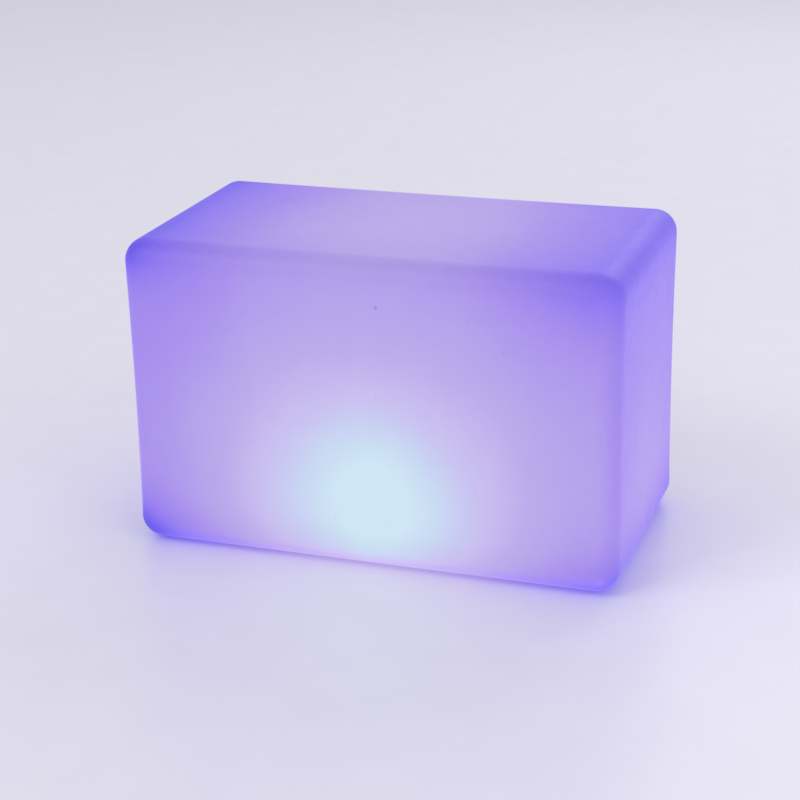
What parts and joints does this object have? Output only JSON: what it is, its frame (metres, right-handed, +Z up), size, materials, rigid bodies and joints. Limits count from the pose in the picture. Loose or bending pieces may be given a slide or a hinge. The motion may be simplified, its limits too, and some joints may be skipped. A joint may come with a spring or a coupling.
{
  "type": "led light block",
  "caption": "Rounded translucent light block with a sealed rechargeable lamp unit in its underside, a push button and a capped charging port.",
  "frame": {"origin": "on the floor, under the middle of the block", "axes": "+X along the block's length, to the viewer's right; -Y the front; +Z up"},
  "size_m": [0.55, 0.3, 0.35],
  "materials": {
    "shell_polyethylene": "translucent milky polyethylene, lit violet from inside",
    "white_abs": "fine spark-eroded texture",
    "grey_abs": "fine moulded texture",
    "black_plastic": "moulded",
    "frosted_polycarbonate": "frosted",
    "clear_polycarbonate": "clear",
    "silicone_grey": "matt silicone",
    "silicone_white": "matt silicone",
    "rubber_black": "matt",
    "adhesive_tape": "foam tape",
    "steel_screw": "zinc plated",
    "stainless_screw": "plain",
    "spring_steel": "rolled",
    "nickel": "rolled",
    "brass": "turned, knurled",
    "aluminium": "brushed",
    "cell_sleeve": "shrink sleeve",
    "lead_red": "insulation",
    "lead_black": "insulation",
    "ribbon_white": "insulation",
    "connector_white": "nylon",
    "board_green": "solder mask",
    "board_white": "white solder mask",
    "chip_black": "moulded epoxy",
    "ferrite": "sintered ferrite",
    "capacitor_can": "drawn can",
    "led_white": "phosphor window",
    "indicator_red": "diffused"
  },
  "bodies": {
    "block": {"shell": "shell_polyethylene", "threaded_inserts": "brass", "foot_tape_discs": "adhesive_tape", "base_plate": "white_abs", "base_gasket": "silicone_grey", "sealing_washers": "rubber_black", "mounting_screws": "stainless_screw", "unit_housing": "grey_abs", "housing_seal": "silicone_grey", "housing_screws": "stainless_screw", "battery_cell_front": "cell_sleeve", "battery_cell_rear": "cell_sleeve", "battery_cradle": "black_plastic", "battery_strap": "spring_steel", "strap_screws": "steel_screw", "nickel_strip_positive": "nickel", "nickel_strip_negative": "nickel", "battery_lead_red": "lead_red", "battery_lead_black": "lead_black", "battery_connector": "connector_white", "control_board": "board_green", "board_screws": "steel_screw", "microcontroller": "chip_black", "charge_chip": "chip_black", "inductor": "ferrite", "capacitors": "capacitor_can", "driver_transistors": "chip_black", "chip_resistors": "chip_black", "charging_jack": "black_plastic", "jack_centre_pin": "nickel", "port_plug_anchor": "silicone_white", "button_seal": "silicone_white", "switch_body": "black_plastic", "indicator_led": "indicator_red", "indicator_light_pipe": "clear_polycarbonate", "heat_spreader": "aluminium", "led_board": "board_white", "led_chips": "led_white", "led_board_screws": "steel_screw", "infrared_receiver": "chip_black", "diffuser_dome": "frosted_polycarbonate", "dome_seal": "silicone_grey", "dome_screws": "steel_screw", "led_ribbon": "ribbon_white", "ribbon_connector": "connector_white", "ribbon_grommet": "silicone_grey", "foot_front_left": "rubber_black", "foot_front_right": "rubber_black", "foot_rear_left": "rubber_black", "foot_rear_right": "rubber_black"},
    "power_button": {"power_button": "silicone_grey"},
    "switch_plunger": {"switch_plunger": "black_plastic"},
    "port_plug": {"port_plug": "silicone_white"}
  },
  "joints": [
    {"name": "power_press", "type": "slide", "parent": "block", "child": "power_button", "axis": [0, 0, 1], "range_m": [0, 0.0008], "stiffness_N_per_m": 1500},
    {"name": "switch_plunger_travel", "type": "slide", "parent": "block", "child": "switch_plunger", "axis": [0, 0, 1], "range_m": [0, 0.0008]},
    {"name": "port_plug_swing", "type": "hinge", "parent": "block", "child": "port_plug", "pos_m": [0.027, -0.03, 0.009], "axis": [0, -1, 0], "range_deg": [0, 110]}
  ],
  "couplings": [
    {"joint": "switch_plunger_travel", "follows": "power_press", "ratio": 1}
  ]
}
